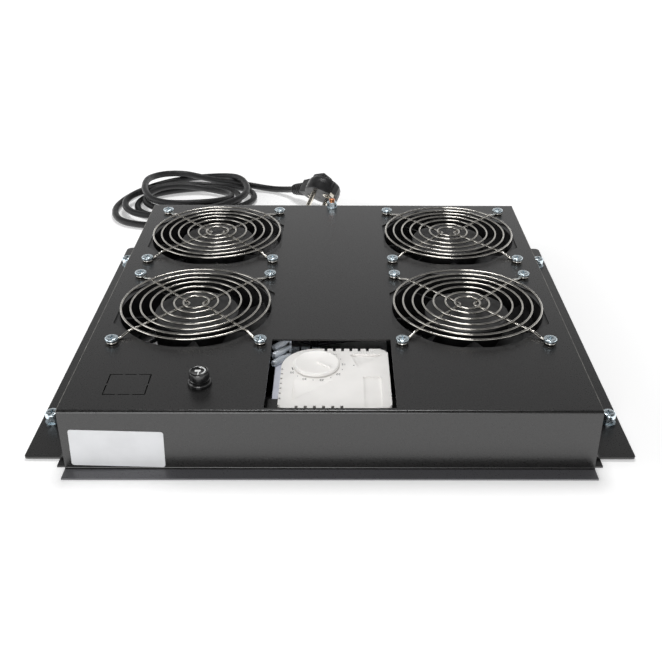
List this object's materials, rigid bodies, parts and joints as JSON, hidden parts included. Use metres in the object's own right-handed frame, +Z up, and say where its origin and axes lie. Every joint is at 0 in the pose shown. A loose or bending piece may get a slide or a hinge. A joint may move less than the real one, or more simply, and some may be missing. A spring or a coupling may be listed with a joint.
{
  "type": "rack fan tray",
  "caption": "Black sheet-steel rack fan tray with axial fans under wire guards, a thermostat, fuse holder, side mounting brackets and a mains cord.",
  "frame": {"origin": "on the floor under the middle of the tray, the cord left out of account", "axes": "+X to the tray's right, +Y to its rear wall and cord, +Z up through the fans"},
  "size_m": [0.438, 0.5462, 0.0564],
  "materials": {
    "black_powder_coat": "fine-textured semi-gloss powder coat",
    "zinc_plated_steel": "bright blue zinc plate",
    "black_fan_frame": "satin black stove enamel on die-cast aluminium",
    "copper_winding": "enamelled copper wire and varnished laminations",
    "bright_steel": "ground steel",
    "sintered_bronze": "porous oil-filled bronze",
    "black_fan_rotor": "moulded black glass-filled plastic",
    "chromed_wire": "bright nickel-chrome plated wire",
    "white_plastic": "fine-spark moulded white ABS",
    "bluish_white_plastic": "moulded bluish white ABS",
    "grey_plastic": "moulded grey nylon",
    "clear_nylon": "milky natural nylon",
    "black_plastic": "gloss black moulded nylon",
    "fuse_glass": "glass tube with metal caps",
    "copper_plated_steel": "copper flash plate",
    "label_paper": "white satin label film",
    "wire_sleeving": "dark grey PVC sheath and sleeving",
    "black_rubber": "matt black PVC sheath",
    "nickel_plated_brass": "satin nickel plate on brass"
  },
  "bodies": {
    "tray": {"tray_chassis": "black_powder_coat", "left_side_panel": "black_powder_coat", "right_side_panel": "black_powder_coat", "left_bracket": "black_powder_coat", "right_bracket": "black_powder_coat", "thermostat_tray": "black_powder_coat", "bracket_weld_nuts": "zinc_plated_steel", "bracket_screws": "zinc_plated_steel", "guard_screws": "zinc_plated_steel", "guard_nuts": "zinc_plated_steel", "earth_nut": "zinc_plated_steel", "earth_washer": "zinc_plated_steel", "front_left_fan_frame": "black_fan_frame", "front_left_fan_stator": "copper_winding", "front_left_fan_bearings": "sintered_bronze", "front_left_finger_guard": "chromed_wire", "front_right_fan_frame": "black_fan_frame", "front_right_fan_stator": "copper_winding", "front_right_fan_bearings": "sintered_bronze", "front_right_finger_guard": "chromed_wire", "rear_left_fan_frame": "black_fan_frame", "rear_left_fan_stator": "copper_winding", "rear_left_fan_bearings": "sintered_bronze", "rear_left_finger_guard": "chromed_wire", "rear_right_fan_frame": "black_fan_frame", "rear_right_fan_stator": "copper_winding", "rear_right_fan_bearings": "sintered_bronze", "rear_right_finger_guard": "chromed_wire", "thermostat_base": "bluish_white_plastic", "thermostat_cover": "white_plastic", "thermostat_switch": "grey_plastic", "terminal_block": "clear_nylon", "fuse_holder_body": "black_plastic", "fuse_holder_nut": "black_plastic", "earth_stud": "copper_plated_steel", "rating_label": "label_paper", "wiring_loom": "wire_sleeving", "cord_gland": "black_plastic", "gland_nut": "black_plastic", "power_cord": "black_rubber", "cord_coil": "black_rubber", "plug_lead": "black_rubber", "plug_body": "black_rubber", "plug_strain_relief": "black_rubber", "plug_pins": "nickel_plated_brass", "plug_earth_contacts": "nickel_plated_brass"},
    "front_left_rotor": {"front_left_fan_rotor": "black_fan_rotor", "front_left_fan_shaft": "bright_steel"},
    "front_right_rotor": {"front_right_fan_rotor": "black_fan_rotor", "front_right_fan_shaft": "bright_steel"},
    "rear_left_rotor": {"rear_left_fan_rotor": "black_fan_rotor", "rear_left_fan_shaft": "bright_steel"},
    "rear_right_rotor": {"rear_right_fan_rotor": "black_fan_rotor", "rear_right_fan_shaft": "bright_steel"},
    "dial": {"thermostat_dial": "white_plastic", "thermostat_spindle": "white_plastic"},
    "fuse_carrier": {"fuse_cartridge": "fuse_glass"},
    "fuse_cap": {"fuse_cap": "black_plastic"}
  },
  "joints": [
    {"name": "front_left_fan_spin", "type": "hinge", "parent": "tray", "child": "front_left_rotor", "pos_m": [-0.103, -0.036, 0.0273], "axis": [0, 0, 1], "continuous": true},
    {"name": "front_right_fan_spin", "type": "hinge", "parent": "tray", "child": "front_right_rotor", "pos_m": [0.103, -0.036, 0.0273], "axis": [0, 0, 1], "continuous": true},
    {"name": "rear_left_fan_spin", "type": "hinge", "parent": "tray", "child": "rear_left_rotor", "pos_m": [-0.103, 0.098, 0.0273], "axis": [0, 0, 1], "continuous": true},
    {"name": "rear_right_fan_spin", "type": "hinge", "parent": "tray", "child": "rear_right_rotor", "pos_m": [0.103, 0.098, 0.0273], "axis": [0, 0, 1], "continuous": true},
    {"name": "thermostat_dial_turn", "type": "hinge", "parent": "tray", "child": "dial", "pos_m": [-0.0101, -0.10865, 0.04], "axis": [0, 0, 1], "range_deg": [-114, 129]},
    {"name": "fuse_carrier_lift", "type": "slide", "parent": "tray", "child": "fuse_carrier", "axis": [0, 0, 1], "range_m": [0, 0.032]},
    {"name": "fuse_cap_turn", "type": "hinge", "parent": "fuse_carrier", "child": "fuse_cap", "pos_m": [-0.0862, -0.1405, 0.052], "axis": [0, 0, 1], "range_deg": [0, 60]}
  ]
}
